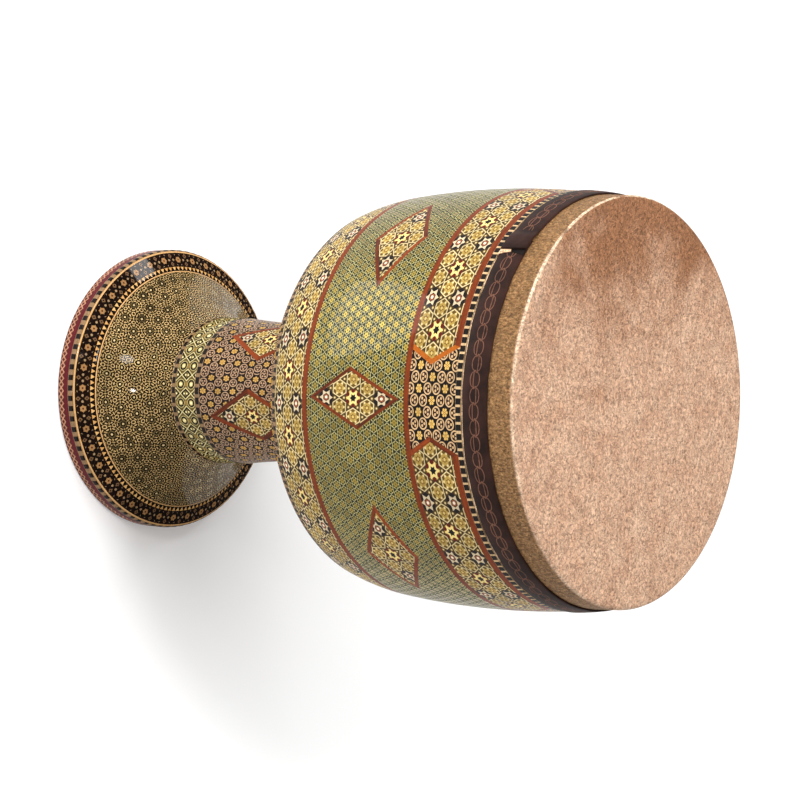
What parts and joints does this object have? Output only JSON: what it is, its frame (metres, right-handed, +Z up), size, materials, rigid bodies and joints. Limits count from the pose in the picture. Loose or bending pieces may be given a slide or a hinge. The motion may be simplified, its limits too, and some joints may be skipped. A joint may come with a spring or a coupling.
{
  "type": "goblet drum",
  "caption": "Turned wooden goblet drum with a glued skin head, a hollow neck and flared foot, covered with marquetry of stars, rosettes and lozenges.",
  "frame": {"origin": "centre of the plane that the foot stands on", "axes": "+Z up along the drum's axis, from the foot to the skin; -Y is the side with the lozenge that faces the viewer in the picture"},
  "size_m": [0.2964, 0.2964, 0.456],
  "materials": {
    "walnut_body": "turned, oiled",
    "goatskin_head": "raw skin, matte, mottled",
    "embossed_leather": "dark brown, embossed with a chain of small loops, satin",
    "check_marquetry": "black and cream checks, clear lacquer",
    "rosette_marquetry": "cream rosettes with dark stars, clear lacquer",
    "orange_wood": "orange-red stained strip, clear lacquer",
    "flower_marquetry": "small flowers on black, clear lacquer",
    "green_star_marquetry": "yellow stars in a dark green lattice, clear lacquer",
    "collar_marquetry": "green and gold hexagon chain, clear lacquer",
    "net_marquetry": "gold net on dark olive, clear lacquer",
    "pale_line_wood": "thin pale strip, clear lacquer",
    "burgundy_wood": "dark red stained strip, clear lacquer",
    "foot_edge_marquetry": "brown and pink crosses, clear lacquer"
  },
  "bodies": {
    "root": {"burgundy_band": "burgundy_wood", "collar_band": "collar_marquetry", "collar_dot_line": "check_marquetry", "dish_field": "net_marquetry", "foot_check_line": "check_marquetry", "foot_edge_band": "foot_edge_marquetry", "foot_rim_band": "flower_marquetry", "front_flower_section_1": "flower_marquetry", "front_flower_section_2": "flower_marquetry", "front_flower_section_3": "flower_marquetry", "front_flower_section_4": "flower_marquetry", "front_panel_1": "rosette_marquetry", "front_panel_2": "rosette_marquetry", "front_panel_3": "rosette_marquetry", "front_panel_4": "rosette_marquetry", "front_panel_frame_1": "orange_wood", "front_panel_frame_2": "orange_wood", "front_panel_frame_3": "orange_wood", "front_panel_frame_4": "orange_wood", "green_field": "green_star_marquetry", "inner_gold_line": "pale_line_wood", "leather_strip": "embossed_leather", "lower_orange_line": "orange_wood", "neck_check_line": "check_marquetry", "neck_field": "flower_marquetry", "neck_lozenge_1": "rosette_marquetry", "neck_lozenge_2": "rosette_marquetry", "neck_lozenge_3": "rosette_marquetry", "neck_lozenge_4": "rosette_marquetry", "neck_lozenge_5": "rosette_marquetry", "neck_lozenge_frame_1": "orange_wood", "neck_lozenge_frame_2": "orange_wood", "neck_lozenge_frame_3": "orange_wood", "neck_lozenge_frame_4": "orange_wood", "neck_lozenge_frame_5": "orange_wood", "outer_cream_line": "pale_line_wood", "rim_check_strip": "check_marquetry", "sawtooth_ring": "check_marquetry", "shoulder_band": "rosette_marquetry", "shoulder_check_line": "check_marquetry", "skin_head": "goatskin_head", "tall_lozenge_1": "rosette_marquetry", "tall_lozenge_2": "rosette_marquetry", "tall_lozenge_3": "rosette_marquetry", "tall_lozenge_4": "rosette_marquetry", "tall_lozenge_frame_1": "orange_wood", "tall_lozenge_frame_2": "orange_wood", "tall_lozenge_frame_3": "orange_wood", "tall_lozenge_frame_4": "orange_wood", "underside_field": "flower_marquetry", "upper_orange_line": "orange_wood", "wide_lozenge_1": "rosette_marquetry", "wide_lozenge_2": "rosette_marquetry", "wide_lozenge_3": "rosette_marquetry", "wide_lozenge_4": "rosette_marquetry", "wide_lozenge_frame_1": "orange_wood", "wide_lozenge_frame_2": "orange_wood", "wide_lozenge_frame_3": "orange_wood", "wide_lozenge_frame_4": "orange_wood", "wooden_body": "walnut_body"}
  },
  "joints": []
}
